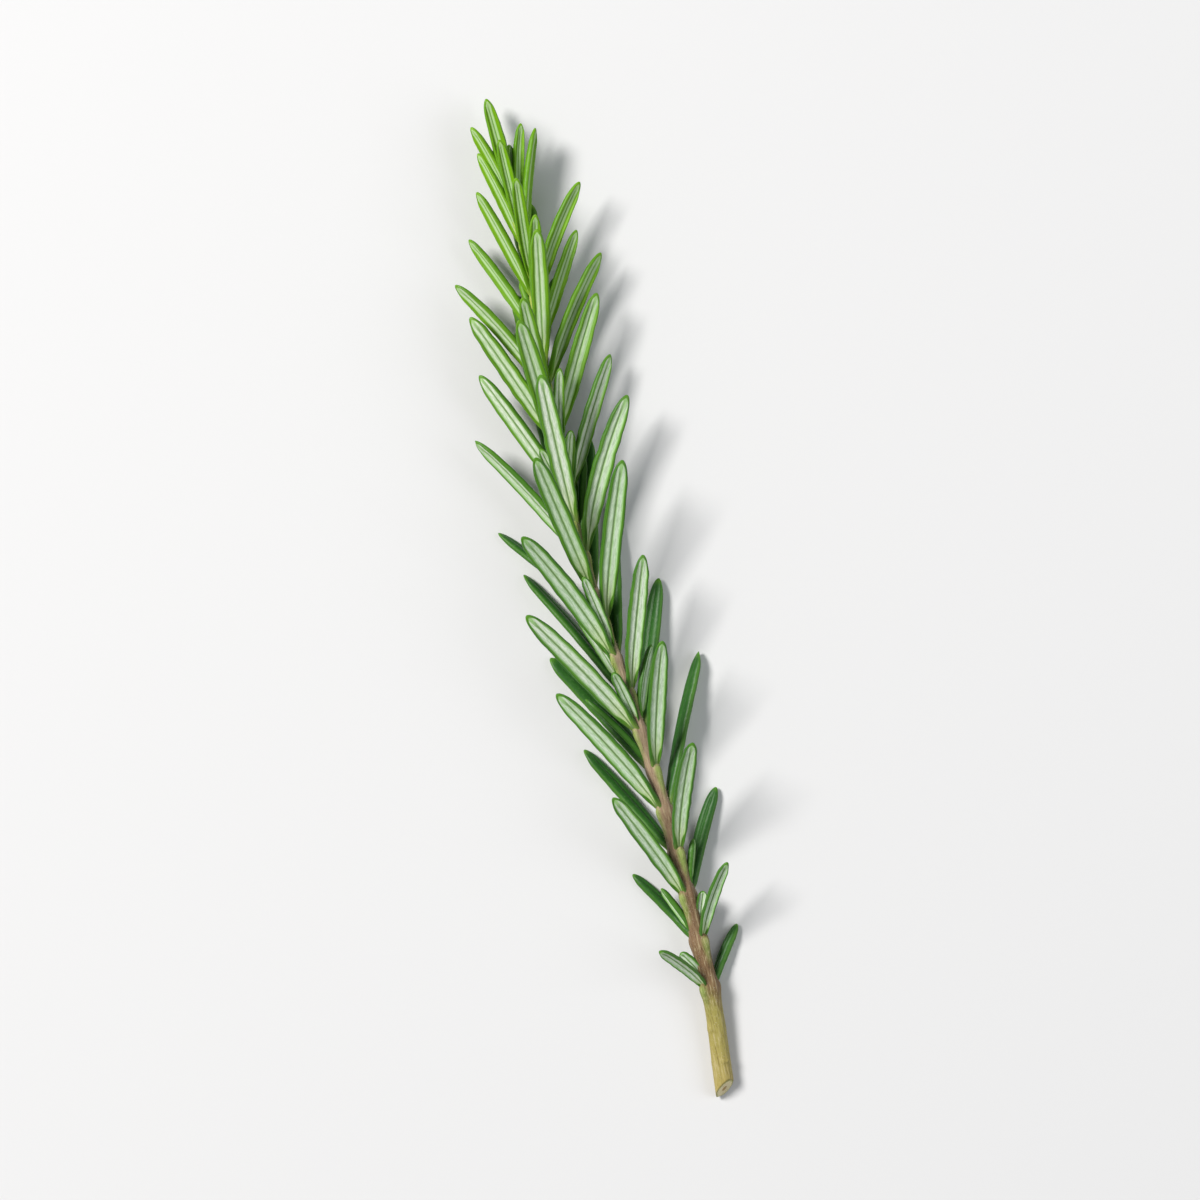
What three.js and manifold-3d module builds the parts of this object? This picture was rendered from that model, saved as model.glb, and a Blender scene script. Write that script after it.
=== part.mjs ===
import * as THREE from 'three';
import { mergeVertices } from 'three/addons/utils/BufferGeometryUtils.js';
import Module from 'manifold-3d';

// A cut sprig of rosemary that lies on a table. Millimetres, +Z up, the table at z = 0.
// The stem runs along +Y from its cut end to its growing tip, with +X to its right seen from above.
// Lists of stops give [place along the stem, value]; between two stops the value changes smoothly.

// Stem
const STEM_LENGTH = 137;
const CUT_DIAMETER = 3.0;
const TIP_DIAMETER = 1.1;
const STEM_TAPER = 1.7;
const CUT_SLANT = 0.9;
const SWAY_STOPS = [[0, 0], [16, 1.4], [45, 1.0], [62, -0.3], [80, -1.9], [105, -1.7], [122, 0.1], [137, 0.4]];
const RISE_STOPS = [[0, 1.35], [6, 1.45], [30, 3.7], [62, 5.5], [110, 5.6], [137, 6.4]];
const STEM_SIDES = 9;
const STEM_STEP = 3.4;
const COLLAR_LENGTH = 1.3;
const COLLAR_HEIGHT = 0.16;

// Where the stem changes from bare wood to leafy shoot, and from shoot to young tip
const SHOOT_START = 13.4;
const TIP_START = 128.6;
const JOINT_GAP = 0.3;

// Leaf pairs, each turned a quarter round the stem from the pair before it
const SHOOT_PAIR_COUNT = 23;
const FIRST_PAIR = 15.6;
const LAST_SHOOT_PAIR = 124.4;
const PAIR_CROWDING = 0.46;
const TIP_PAIR_COUNT = 4;
const FIRST_TIP_PAIR = 129.4;
const TIP_PAIR_STEP = 2;
const PAIR_COUNT = SHOOT_PAIR_COUNT + TIP_PAIR_COUNT;
const ROW_AZIMUTH = 135;
const ROW_TURN_STOPS = [[0, 0], [58, 0], [88, -40], [137, -48]];
const ROW_SCATTER = 13;

// Leaves: lengths along the blade, and the angle in degrees between blade and stem
const LENGTH_STOPS = [[15, 11], [32, 20.5], [50, 23.5], [96, 23], [116, 19], [130, 16.5], [137, 15.5]];
const ANGLE_STOPS = [[15, 38], [34, 28], [60, 25], [100, 23], [118, 20], [125, 18], [129, 10], [137, 3]];
const LENGTH_SCATTER = 0.1;
const ANGLE_SCATTER = 4;
const TIP_CALM = 0.4;
const LEAF_SLIMNESS = 0.13;
const LEAST_WIDTH = 1.9;
const MOST_WIDTH = 3.2;
const LEAF_THICKNESS = 1.1;
const RECURVE = 11;
const RECURVE_SCATTER = 7;
const SIDE_BEND = 0.035;
const TURN_TO_LIGHT = 60;
const SHADE_LIMIT = 0.8;
const TWIST_SCATTER = 12;
const BASE_DEPTH = 0.3;
const TWIST_END = 0.3;
const WIDEST_PLACE = 0.46;
const BASE_NARROWING = 0.4;
const TIP_NARROWING = 0.66;

// Small leaves in the axils of the main ones
const AXIL_SHARE = 0.5;
const AXIL_LENGTH = 0.46;
const AXIL_LENGTH_SCATTER = 0.12;
const AXIL_ANGLE = 0.6;
const AXIL_RISE = 1.2;
const AXIL_TURN = 34;
const LAST_AXIL = 117;

// The pair of leaves that is still closed round the growing point
const BUD_BELOW_END = 1;
const BUD_LENGTH = 9;
const BUD_ANGLE = 4;

// Leaves that reach the table bend along it; the lowest ones press on it this deep
const TABLE_SOFTNESS = 0.6;
const TABLE_PRESS = 0.3;

// Fineness of the model. The ring before a leaf's tip is drawn in, and its lowest point lies in the channel
const SEED = 6;
const SECTION_POINTS = 7;
const RING_PLACES = [0, 0.05, 0.24, 0.5, 0.78, 0.95, 1];
const LAST_RING_SIZE = 0.75;
const CHANNEL_LEFT = 0.25;
const CHANNEL_FROM = 0.95;
const SMALL_STEP = 0.01;
const SLAB_SIZE = 400;
const FINEST_EDGE = 0.02;

const wasm = await Module();
wasm.setup();

// Draws between -1 and 1 that are the same on every run
function repeatableDraws(seed) {
  let state = seed;
  return () => {
    state = (Math.imul(state, 1664525) + 1013904223) >>> 0;
    return state / 2147483648 - 1;
  };
}

// The value at a place between stops: a cubic through the stops, level past the first and the last
function valueAt(stops, place) {
  const last = stops.length - 1;
  if (place <= stops[0][0]) return stops[0][1];
  if (place >= stops[last][0]) return stops[last][1];
  let index = 0;
  while (place > stops[index + 1][0]) index += 1;
  const slope = (at) => {
    const low = stops[Math.max(at - 1, 0)];
    const high = stops[Math.min(at + 1, last)];
    return (high[1] - low[1]) / (high[0] - low[0]);
  };
  const [start, startValue] = stops[index];
  const [end, endValue] = stops[index + 1];
  const span = end - start;
  const part = (place - start) / span;
  const ease = part * part * (3 - 2 * part);
  const lead = part * (1 - part) * (1 - part) * span * slope(index);
  const tail = part * part * (part - 1) * span * slope(index + 1);
  return startValue + (endValue - startValue) * ease + lead + tail;
}

function stemPoint(place) {
  return new THREE.Vector3(valueAt(SWAY_STOPS, place), place, valueAt(RISE_STOPS, place));
}

function stemDirection(place) {
  return stemPoint(place + 0.5).sub(stemPoint(place - 0.5)).normalize();
}

// The pairs stand closer together towards the growing tip
function pairPlace(pair) {
  if (pair >= SHOOT_PAIR_COUNT) return FIRST_TIP_PAIR + TIP_PAIR_STEP * (pair - SHOOT_PAIR_COUNT);
  const part = pair / (SHOOT_PAIR_COUNT - 1);
  return FIRST_PAIR + (LAST_SHOOT_PAIR - FIRST_PAIR) * part * (1 + PAIR_CROWDING * (1 - part));
}

function stemRadius(place) {
  const left = Math.max(1 - place / STEM_LENGTH, 0);
  const plain = (TIP_DIAMETER + (CUT_DIAMETER - TIP_DIAMETER) * Math.pow(left, STEM_TAPER)) / 2;
  let collar = 0;
  for (let pair = 0; pair < PAIR_COUNT; pair += 1) {
    const away = (place - pairPlace(pair)) / COLLAR_LENGTH;
    collar = Math.max(collar, COLLAR_HEIGHT * Math.exp(-away * away));
  }
  return plain * (1 + collar);
}

// Every leaf as its place on the stem, its azimuth round it (0 is +X, 90 is up) and its form
function leafPlan() {
  const draw = repeatableDraws(SEED);
  const leaves = [];
  for (let pair = 0; pair < PAIR_COUNT; pair += 1) {
    const place = pairPlace(pair);
    const quarter = ROW_AZIMUTH - 90 * (pair % 2) + valueAt(ROW_TURN_STOPS, place);
    const inTip = pair >= SHOOT_PAIR_COUNT;
    for (const opposite of [0, 180]) {
      const main = {
        place,
        azimuth: quarter + opposite + ROW_SCATTER * draw(),
        angle: valueAt(ANGLE_STOPS, place) + ANGLE_SCATTER * draw() * (inTip ? TIP_CALM : 1),
        length: valueAt(LENGTH_STOPS, place) * (1 + LENGTH_SCATTER * draw()),
        recurve: RECURVE + RECURVE_SCATTER * draw(),
        sideBend: SIDE_BEND * draw(),
        twist: TWIST_SCATTER * draw(),
        inTip,
      };
      leaves.push(main);
      const axil = {
        place: place + AXIL_RISE,
        azimuth: main.azimuth + AXIL_TURN * Math.sign(draw()),
        angle: main.angle * AXIL_ANGLE + ANGLE_SCATTER * draw(),
        length: main.length * (AXIL_LENGTH + AXIL_LENGTH_SCATTER * draw()),
        recurve: RECURVE + RECURVE_SCATTER * draw(),
        sideBend: SIDE_BEND * draw(),
        twist: TWIST_SCATTER * draw(),
        inTip,
      };
      const kept = draw() < 2 * AXIL_SHARE - 1;
      if (kept && place < LAST_AXIL) leaves.push(axil);
    }
  }
  const budAzimuth = ROW_AZIMUTH - 90 * (PAIR_COUNT % 2) + valueAt(ROW_TURN_STOPS, STEM_LENGTH);
  for (const opposite of [0, 180]) {
    leaves.push({
      place: STEM_LENGTH - BUD_BELOW_END,
      azimuth: budAzimuth + opposite,
      angle: BUD_ANGLE,
      length: BUD_LENGTH,
      recurve: BUD_ANGLE,
      sideBend: 0,
      twist: 0,
      inTip: true,
    });
  }
  return leaves;
}

function leafHalfWidth(leaf, part) {
  const widest = Math.min(Math.max(leaf.length * LEAF_SLIMNESS, LEAST_WIDTH), MOST_WIDTH) / 2;
  if (part < WIDEST_PLACE) {
    const out = part / WIDEST_PLACE;
    return widest * (BASE_NARROWING + (1 - BASE_NARROWING) * out * (2 - out));
  }
  const on = (part - WIDEST_PLACE) / (1 - WIDEST_PLACE);
  return widest * (1 - (1 - TIP_NARROWING) * on * on);
}

// The middle line of a leaf: an arc that bends away from the stem, with a slight bend to the side
function freeMiddle(leaf, part) {
  const { base, stem, outward, sideways, start, bend } = leaf.frame;
  const end = start + bend * part;
  const forward = leaf.length * (Math.sin(end) - Math.sin(start)) / bend;
  const away = leaf.length * (Math.cos(start) - Math.cos(end)) / bend;
  const aside = leaf.length * leaf.sideBend * part * part;
  return base.clone()
    .addScaledVector(stem, forward)
    .addScaledVector(outward, away)
    .addScaledVector(sideways, aside);
}

// Along, across and underside directions of a leaf, for a middle line given as a function
function leafDirections(leaf, middle, part) {
  const along = middle(leaf, part + SMALL_STEP).sub(middle(leaf, part - SMALL_STEP)).normalize();
  const under = leaf.frame.outward.clone();
  under.addScaledVector(along, -under.dot(along)).normalize();
  const across = along.clone().cross(under);
  const twist = leaf.frame.twist * Math.min(part / TWIST_END, 1);
  return {
    across: across.clone().multiplyScalar(Math.cos(twist)).addScaledVector(under, -Math.sin(twist)),
    under: under.clone().multiplyScalar(Math.cos(twist)).addScaledVector(across, Math.sin(twist)),
  };
}

// The same line with the table under it: a soft floor lifts what would go through
function restingMiddle(leaf, part) {
  const point = freeMiddle(leaf, part);
  const { across, under } = leafDirections(leaf, freeMiddle, part);
  const reach = Math.abs(across.z) * leafHalfWidth(leaf, part) + Math.abs(under.z) * LEAF_THICKNESS / 2;
  const over = point.z - reach + TABLE_PRESS;
  point.z += (Math.sqrt(over * over + TABLE_SOFTNESS * TABLE_SOFTNESS) - over) / 2;
  return point;
}

function setLeafFrame(leaf) {
  const stem = stemDirection(leaf.place);
  const azimuth = THREE.MathUtils.degToRad(leaf.azimuth);
  const outward = new THREE.Vector3(Math.cos(azimuth), 0, Math.sin(azimuth));
  outward.addScaledVector(stem, -outward.dot(stem)).normalize();
  const sideways = stem.clone().cross(outward);
  const turnToLight = TURN_TO_LIGHT * Math.abs(Math.cos(azimuth)) * Math.sign(sideways.z);
  const facingUp = THREE.MathUtils.clamp(SHADE_LIMIT + Math.sin(azimuth), 0, 1);
  leaf.frame = {
    stem,
    outward,
    sideways,
    base: stemPoint(leaf.place).addScaledVector(outward, BASE_DEPTH * stemRadius(leaf.place)),
    start: THREE.MathUtils.degToRad(leaf.angle),
    bend: THREE.MathUtils.degToRad(leaf.recurve),
    twist: THREE.MathUtils.degToRad(turnToLight * facingUp + leaf.twist),
  };
}

// A closed mesh as a solid that can be joined and cut
function solidOf(geometry) {
  geometry.deleteAttribute('normal');
  geometry.deleteAttribute('uv');
  const merged = mergeVertices(geometry);
  const mesh = new wasm.Mesh({
    numProp: 3,
    vertProperties: new Float32Array(merged.attributes.position.array),
    triVerts: new Uint32Array(merged.index.array),
  });
  return new wasm.Manifold(mesh);
}

// A leaf: a sphere whose rings become the leaf's sections, rolled down at both margins
function leafSolid(leaf) {
  setLeafFrame(leaf);
  const rings = RING_PLACES.length - 1;
  const geometry = new THREE.SphereGeometry(1, SECTION_POINTS, rings);
  const position = geometry.attributes.position;
  for (let index = 0; index < position.count; index += 1) {
    const ring = Math.round(Math.acos(THREE.MathUtils.clamp(position.getY(index), -1, 1)) / Math.PI * rings);
    const part = RING_PLACES[ring];
    const point = restingMiddle(leaf, part);
    if (ring > 0 && ring < rings) {
      const turn = Math.atan2(position.getZ(index), position.getX(index)) + Math.PI / 2;
      const endFactor = ring === rings - 1 ? LAST_RING_SIZE : 1;
      const wide = leafHalfWidth(leaf, part) * Math.sin(turn) * endFactor;
      const inChannel = Math.cos(turn) > CHANNEL_FROM ? CHANNEL_LEFT : 1;
      const deep = LEAF_THICKNESS / 2 * Math.cos(turn) * inChannel * endFactor;
      const { across, under } = leafDirections(leaf, restingMiddle, part);
      point.addScaledVector(across, wide).addScaledVector(under, deep);
    }
    position.setXYZ(index, point.x, point.y, point.z);
  }
  return solidOf(geometry);
}

// A stretch of stem: a cylinder whose rings follow the stem, with a collar at each leaf pair
function stemSolid(start, end, slant) {
  const steps = Math.ceil((end - start) / STEM_STEP);
  const geometry = new THREE.CylinderGeometry(1, 1, 1, STEM_SIDES, steps);
  const position = geometry.attributes.position;
  for (let index = 0; index < position.count; index += 1) {
    const place = start + (end - start) * (position.getY(index) + 0.5);
    const radius = stemRadius(place);
    const direction = stemDirection(place);
    const right = new THREE.Vector3(1, 0, 0).addScaledVector(direction, -direction.x).normalize();
    const up = right.clone().cross(direction);
    const wide = position.getX(index) * radius;
    const high = position.getZ(index) * radius;
    const point = stemPoint(place).addScaledVector(right, wide).addScaledVector(up, high);
    if (place === start) point.addScaledVector(direction, slant * wide / radius);
    position.setXYZ(index, point.x, point.y, point.z);
  }
  return solidOf(geometry);
}

function tableSlab() {
  const geometry = new THREE.BoxGeometry(SLAB_SIZE, SLAB_SIZE, SLAB_SIZE);
  geometry.translate(0, 0, -SLAB_SIZE / 2);
  return solidOf(geometry);
}

function joined(solids) {
  return solids.reduce((whole, solid) => whole.add(solid));
}

// The outer skin alone: no loose scraps, and no small hollows closed in between leaves and stem
function outerBody(solid) {
  return solid.decompose().reduce((most, body) => (body.volume() > most.volume() ? body : most));
}

function meshOf(name, solid, material) {
  const resting = outerBody(solid.subtract(tableSlab()).simplify(FINEST_EDGE));
  const { vertProperties, triVerts } = resting.getMesh();
  const geometry = new THREE.BufferGeometry();
  geometry.setAttribute('position', new THREE.BufferAttribute(new Float32Array(vertProperties), 3));
  geometry.setIndex(new THREE.BufferAttribute(new Uint32Array(triVerts), 1));
  geometry.computeVertexNormals();
  const mesh = new THREE.Mesh(geometry, material);
  mesh.name = name;
  return mesh;
}

function woodyStem() {
  const material = new THREE.MeshStandardMaterial({ color: '#a89355', roughness: 0.75, metalness: 0 });
  return meshOf('woody_stem', stemSolid(0, SHOOT_START - JOINT_GAP, CUT_SLANT), material);
}

function leafyShoot(leaves) {
  const material = new THREE.MeshStandardMaterial({ color: '#3f7a35', roughness: 0.5, metalness: 0 });
  const stem = stemSolid(SHOOT_START, TIP_START - JOINT_GAP, 0);
  return meshOf('leafy_shoot', joined([stem, ...leaves.map(leafSolid)]), material);
}

function youngTip(leaves) {
  const material = new THREE.MeshStandardMaterial({ color: '#8fbb3c', roughness: 0.5, metalness: 0 });
  const stem = stemSolid(TIP_START, STEM_LENGTH, 0);
  return meshOf('young_tip', joined([stem, ...leaves.map(leafSolid)]), material);
}

// The sprig, with the middle of its outline on the table as its origin
function rosemarySprig() {
  const leaves = leafPlan();
  const sprig = new THREE.Group();
  sprig.add(woodyStem());
  sprig.add(leafyShoot(leaves.filter((leaf) => !leaf.inTip)));
  sprig.add(youngTip(leaves.filter((leaf) => leaf.inTip)));
  const middle = new THREE.Box3().setFromObject(sprig, true).getCenter(new THREE.Vector3());
  sprig.children.forEach((mesh) => mesh.position.set(-middle.x, -middle.y, 0));
  return sprig;
}

export default rosemarySprig();
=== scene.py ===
import math
from types import SimpleNamespace

import bpy
import numpy as np
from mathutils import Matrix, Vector


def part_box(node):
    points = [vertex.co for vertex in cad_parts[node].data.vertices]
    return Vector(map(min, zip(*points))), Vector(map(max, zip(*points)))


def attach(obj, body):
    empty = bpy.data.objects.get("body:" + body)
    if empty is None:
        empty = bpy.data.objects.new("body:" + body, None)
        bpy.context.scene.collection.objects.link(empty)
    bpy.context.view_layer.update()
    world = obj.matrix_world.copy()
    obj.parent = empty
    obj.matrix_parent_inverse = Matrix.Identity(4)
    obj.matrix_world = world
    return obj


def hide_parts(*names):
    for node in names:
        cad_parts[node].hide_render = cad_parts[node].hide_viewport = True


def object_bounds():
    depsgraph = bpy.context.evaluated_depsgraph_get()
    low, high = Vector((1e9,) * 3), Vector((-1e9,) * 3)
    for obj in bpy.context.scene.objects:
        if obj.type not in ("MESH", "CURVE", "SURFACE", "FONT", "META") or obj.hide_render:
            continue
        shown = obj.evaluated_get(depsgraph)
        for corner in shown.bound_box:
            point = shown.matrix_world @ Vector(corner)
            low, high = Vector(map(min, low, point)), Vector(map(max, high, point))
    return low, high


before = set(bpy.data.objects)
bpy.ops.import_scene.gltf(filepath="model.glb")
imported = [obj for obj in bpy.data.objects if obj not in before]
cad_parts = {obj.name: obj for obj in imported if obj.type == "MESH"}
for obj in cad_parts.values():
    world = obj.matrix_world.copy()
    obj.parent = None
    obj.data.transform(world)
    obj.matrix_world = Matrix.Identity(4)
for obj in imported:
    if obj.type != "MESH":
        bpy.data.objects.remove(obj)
cad_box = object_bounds()

# A cut sprig of rosemary on a pale surface. The plant is worked out in millimetres along its stem,
# from the same driving values as the solids, and its meshes are made in metres in the frame.
# Lists of stops give [place along the stem, value]; between two stops the value changes smoothly.
# A span gives where a soft rise from 0 to 1 starts and where it ends, and where its first number is
# the higher one, a fall from 1 to 0.

# Stem, in millimetres
STEM_LENGTH = 137
CUT_DIAMETER = 3.0
TIP_DIAMETER = 1.1
STEM_TAPER = 1.7
CUT_SLANT = 0.9
SWAY_STOPS = [[0, 0], [16, 1.4], [45, 1.0], [62, -0.3], [80, -1.9], [105, -1.7], [122, 0.1], [137, 0.4]]
RISE_STOPS = [[0, 1.35], [6, 1.45], [30, 3.7], [62, 5.5], [110, 5.6], [137, 6.4]]
SOLID_STEM_SIDES = 9
COLLAR_LENGTH = 1.3
COLLAR_HEIGHT = 0.16

# Leaf pairs
SHOOT_PAIR_COUNT = 23
FIRST_PAIR = 15.6
LAST_SHOOT_PAIR = 124.4
PAIR_CROWDING = 0.46
TIP_PAIR_COUNT = 4
FIRST_TIP_PAIR = 129.4
TIP_PAIR_STEP = 2
PAIR_COUNT = SHOOT_PAIR_COUNT + TIP_PAIR_COUNT
ROW_AZIMUTH = 135
ROW_TURN_STOPS = [[0, 0], [58, 0], [88, -40], [137, -48]]
ROW_SCATTER = 13
# The rows that the two leaves of a pair stand in, for even and for odd pairs
ROW_GROUPS = (("left_upper", "right_lower"), ("right_upper", "left_lower"))
LEAF_GROUPS = ("left_upper", "right_upper", "left_lower", "right_lower", "axil", "tip")

# Leaves, in millimetres and degrees
LENGTH_STOPS = [[15, 11], [32, 20.5], [50, 23.5], [96, 23], [116, 19], [130, 16.5], [137, 15.5]]
ANGLE_STOPS = [[15, 38], [34, 28], [60, 25], [100, 23], [118, 20], [125, 18], [129, 10], [137, 3]]
LENGTH_SCATTER = 0.1
ANGLE_SCATTER = 4
TIP_CALM = 0.4
LEAF_SLIMNESS = 0.13
LEAST_WIDTH = 1.9
MOST_WIDTH = 3.2
LEAF_THICKNESS = 1.1
RECURVE = 11
RECURVE_SCATTER = 7
SIDE_BEND = 0.035
TURN_TO_LIGHT = 60
SHADE_LIMIT = 0.8
TWIST_SCATTER = 12
BASE_DEPTH = 0.3
TWIST_END = 0.3
WIDEST_PLACE = 0.46
BASE_NARROWING = 0.4
TIP_NARROWING = 0.66
AXIL_SHARE = 0.5
AXIL_LENGTH = 0.46
AXIL_LENGTH_SCATTER = 0.12
AXIL_ANGLE = 0.6
AXIL_RISE = 1.2
AXIL_TURN = 34
LAST_AXIL = 117
BUD_BELOW_END = 1
BUD_LENGTH = 9
BUD_ANGLE = 4
TABLE_SOFTNESS = 0.6
TABLE_PRESS = 0.3
SMALL_STEP = 0.01

# Repeatable draws
SEED = 6
DRAW_FACTOR = 1664525
DRAW_STEP = 1013904223
DRAW_RANGE = 2**32

# Fineness of the meshes
BLADE_STATIONS = 27
BASE_CROWDING = 0.4
TIP_STATIONS = 9
LAST_TIP_TURN = 84
STEM_SIDES = 48
STEM_STEP = 0.32
FIRST_STEM_RING = 0.12
MM = 0.001

# Fine form of the leaves
TIP_ROUNDING = 0.86
STALK_END = 0.14
STALK_THICKNESS = 0.72
TIP_THINNING = 0.2
TIP_THINNING_SPAN = (0.6, 1)
RIPPLE = 0.016
RIPPLE_WAVES = 4
FIRST_RIPPLE = 1.5
RIPPLE_STEP = 2.2
LIFT_MARGIN = 0.1
LIFT_STEPS = 73
LIFT_SPREAD = 31
LEAF_SEED = 1000
PATTERN_STEP = 10

# Fine form of the stem. Ridges give how many there are round the stem, their turn in radians for each
# millimetre and their height as a share of the radius; scars give their place and azimuth. The size of a
# scar or pit is its reach along the stem in millimetres and round it in radians.
CUT_LEAN = 0.85
CUT_SHIFT = 0.34
SLANT_LENGTH = 5.0
STEM_CORNERS = 4
SQUARENESS = 0.05
WOODY_SPAN = (95, 30)
WOODY_ROUNDING = 0.5
BARK_RIDGES = [(5, 0.05, 0.022), (9, -0.08, 0.016), (14, 0.11, 0.01)]
LEAF_SCARS = [(4.4, 60), (4.4, 240), (9.6, 140), (9.6, 320)]
SCAR_SIZE = (0.55, 0.5)
SCAR_HEIGHT = 0.26
PIT_SIZE = (0.22, 0.2)
PIT_DEPTH = 0.2
PIT_RISE = 0.15
RIDGE_LENGTH = 4.5
RIDGE_HEIGHT = 0.3
RIDGE_WIDTH = 0.55
RIDGE_ABOVE = 2
RIDGE_TOP_SPAN = (-1.6, -0.2)
GREEN_LENGTH = 6.5
GREEN_FULL = 0.3
# The cut face, from its middle out: share of the radius, and how far it is sunk
CUT_RINGS = [(0.1, 0.1), (0.22, 0.09), (0.3, 0.02), (0.55, 0.0), (0.8, 0.01), (0.93, 0.03), (0.985, 0.09)]
CUT_RIM = 0.97
CUT_RIM_SHARE = 0.5
END_RINGS = (0.8, 0.5, 0.2)
END_DOME = 0.35
END_POLE = 0.36
BOX_SOFTNESS = 0.25

# Hairs on the stem
HAIR_SEED = 77
HAIR_COUNT = 2600
FIRST_HAIR = 22
HAIR_CROWDING = 0.7
HAIR_LENGTH = 0.34
HAIR_LENGTH_SCATTER = 0.4
HAIR_LEAN = 0.9
HAIR_WIDTH = 0.035
HAIR_ROOT = 0.05
HAIR_SIDES = 3

# The flat map of the surface: gap round each part of it as a share of the part
SHEET_GAP = 0.03
SHEET_LEAF_SHAPE = 0.35
SHEET_STEM_COLUMNS = 4
HAIR_SHEET = [
    (0.05, 0.05), (0.30, 0.05), (0.17, 0.95),
    (0.35, 0.05), (0.60, 0.05), (0.47, 0.95),
    (0.65, 0.05), (0.90, 0.05), (0.77, 0.95),
    (0.52, 0.95), (0.62, 0.95), (0.57, 0.55),
]

# Sockets of the node that mixes colours: its share, its two colours, and its result
MIX_INPUTS = (0, 6, 7)
MIX_OUTPUT = 2

# Noise patterns: stretch along x, y and z, then scale, detail and roughness. The leaf's lie in
# millimetres across, along and through the blade, and the bark's in metres in the frame.
LEAF_CLOUD = ((0.5, 0.16, 0.5), 1.0, 3.0, 0.5)
LEAF_PEBBLE = ((1.0, 0.75, 1.0), 2.6, 2.0, 0.55)
LEAF_FIBRE = ((5.0, 0.55, 5.0), 1.6, 3.0, 0.65)
LEAF_FINE = ((1.0, 1.0, 1.0), 9.0, 2.0, 0.6)
BARK_STREAK = ((4200, 330, 4200), 1.0, 3.0, 0.6)
BARK_BLOTCH = ((700, 160, 700), 1.0, 2.0, 0.5)
BARK_SPECK = ((1.0, 1.0, 1.0), 5200, 2.0, 0.6)
CUT_GRAIN = ((1.0, 1.0, 1.0), 3600, 2.0, 0.5)
CUT_RAYS = ((7.0, 7.0, 0.9), 1.0, 2.0, 0.5)

# Relief in the materials: strength, and height in metres
PEBBLE_BUMP = (0.3, 0.00016)
FUZZ_BUMP = (0.5, 0.00012)
STREAK_BUMP = (0.5, 0.00025)
SPECK_BUMP = (0.3, 0.0001)

# Green of the leaves; colours are linear red, green and blue
OLD_UPPER = (0.024, 0.105, 0.015)
YOUNG_UPPER = (0.095, 0.26, 0.008)
YOUTH_SCATTER = 0.06
YOUTH_SPAN = (0.50, 1.0)
UNDERSIDE_SPAN = (0.35, 0.65)
CLOUD_TINT = (1.35, 1.25, 1.1)
CLOUD_ABOVE_SPAN = (0.35, 0.7)
CLOUD_MARGIN_SPAN = (0.3, 0.75)
# Painted highlight on the pebbles above: its lighter green, how much of it is mixed in, and where on the
# pebbles it shows
PEBBLE_PAINTED_HIGHLIGHT = (0.16, 0.30, 0.10)
PEBBLE_HIGHLIGHT_SHARE = 0.35
PEBBLE_HIGHLIGHT_SPAN = (0.55, 0.8)
OLD_MARGIN = (0.080, 0.225, 0.018)
YOUNG_MARGIN = (0.165, 0.36, 0.004)
RIM_SHARE = 0.5
RIM_SPAN = (0.80, 0.97)
GREEN_TIP_SPAN = (0.94, 1.0)
OLD_STALK = (0.25, 0.33, 0.08)
YOUNG_STALK = (0.42, 0.52, 0.08)
STALK_SPAN = (0.13, 0.0)
TONE_TINT = (0.68, 0.80, 0.70)
TONE_SHARE = 0.8
GLOSS_ROUGHNESS = 0.3
GLOSS_SCATTER = 0.25
LEAF_SPECULAR = 0.27

# Felt and midrib below; widths are shares of the leaf's half width
FELT_REACH = 0.74
YOUNG_FELT_LOSS = 0.32
FELT_RAGGEDNESS = 0.10
FELT_EDGE_SPAN = (-0.05, 0.04)
FELT_START_SPAN = (0.015, 0.2)
FELT_END_SPAN = (0.995, 0.93)
FELT_ENDS_SPAN = (0.0, 0.3)
FELT_DARK = (0.48, 0.60, 0.41)
FELT_PALE = (0.74, 0.79, 0.69)
FIBRE_SPAN = (0.36, 0.60)
FELT_BRIGHT = (0.84, 0.87, 0.81)
FLECK_SPAN = (0.62, 0.8)
FELT_EDGE = (0.54, 0.77, 0.40)
BAND_EDGE_SPAN = (0.0, 0.24)
BAND_RIB_SPAN = (0.03, 0.24)
FELT_TONE = (0.78, 0.88, 0.77)
YOUNG_FELT = (0.40, 0.59, 0.23)
YOUNG_FELT_SHARE = 0.72
FELT_BASE = (0.55, 0.66, 0.24)
FELT_BASE_SHARE = 0.55
FELT_BASE_SPAN = (0.34, 0.04)
FELT_ROUGHENING = 0.45
OLD_RIB = (0.14, 0.21, 0.085)
YOUNG_RIB = (0.14, 0.32, 0.04)
RIB_SHARE = 0.84
RIB_RAGGEDNESS = 0.03
RIB_SPAN = (0.115, 0.055)
RIB_END_SPAN = (0.97, 0.85)

# Bark from the cut end, at 0, to the growing point, at 1
BARK_STOPS = [
    (0.00, (0.39, 0.31, 0.09)),
    (0.085, (0.33, 0.29, 0.075)),
    (0.12, (0.19, 0.11, 0.05)),
    (0.26, (0.25, 0.16, 0.09)),
    (0.46, (0.42, 0.31, 0.21)),
    (0.62, (0.47, 0.38, 0.24)),
    (0.76, (0.40, 0.42, 0.13)),
    (1.00, (0.32, 0.46, 0.07)),
]
BARK_WANDER = 8.0
RIDGE_GREEN_SPAN = (-40.0, 45.0)
RIDGE_YOUTH_SPAN = (50, 125)
RIDGE_SPAN = (0.1, 0.8)
RIDGE_PLAIN = 0.45
RIDGE_MOTTLE = 0.8
BARK_PALE = (0.57, 0.48, 0.28)
BARK_PALE_SHARE = 0.55
PALE_STREAK_SPAN = (0.5, 0.72)
BARK_DARK = (0.55, 0.50, 0.46)
DARK_STREAK_SPAN = (0.47, 0.3)
BARK_DOWN = (0.66, 0.62, 0.50)
DOWN_SHARE = 0.5
DOWN_SPAN = (0.6, 0.78)
BARK_ROUGHNESS = 0.5
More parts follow.
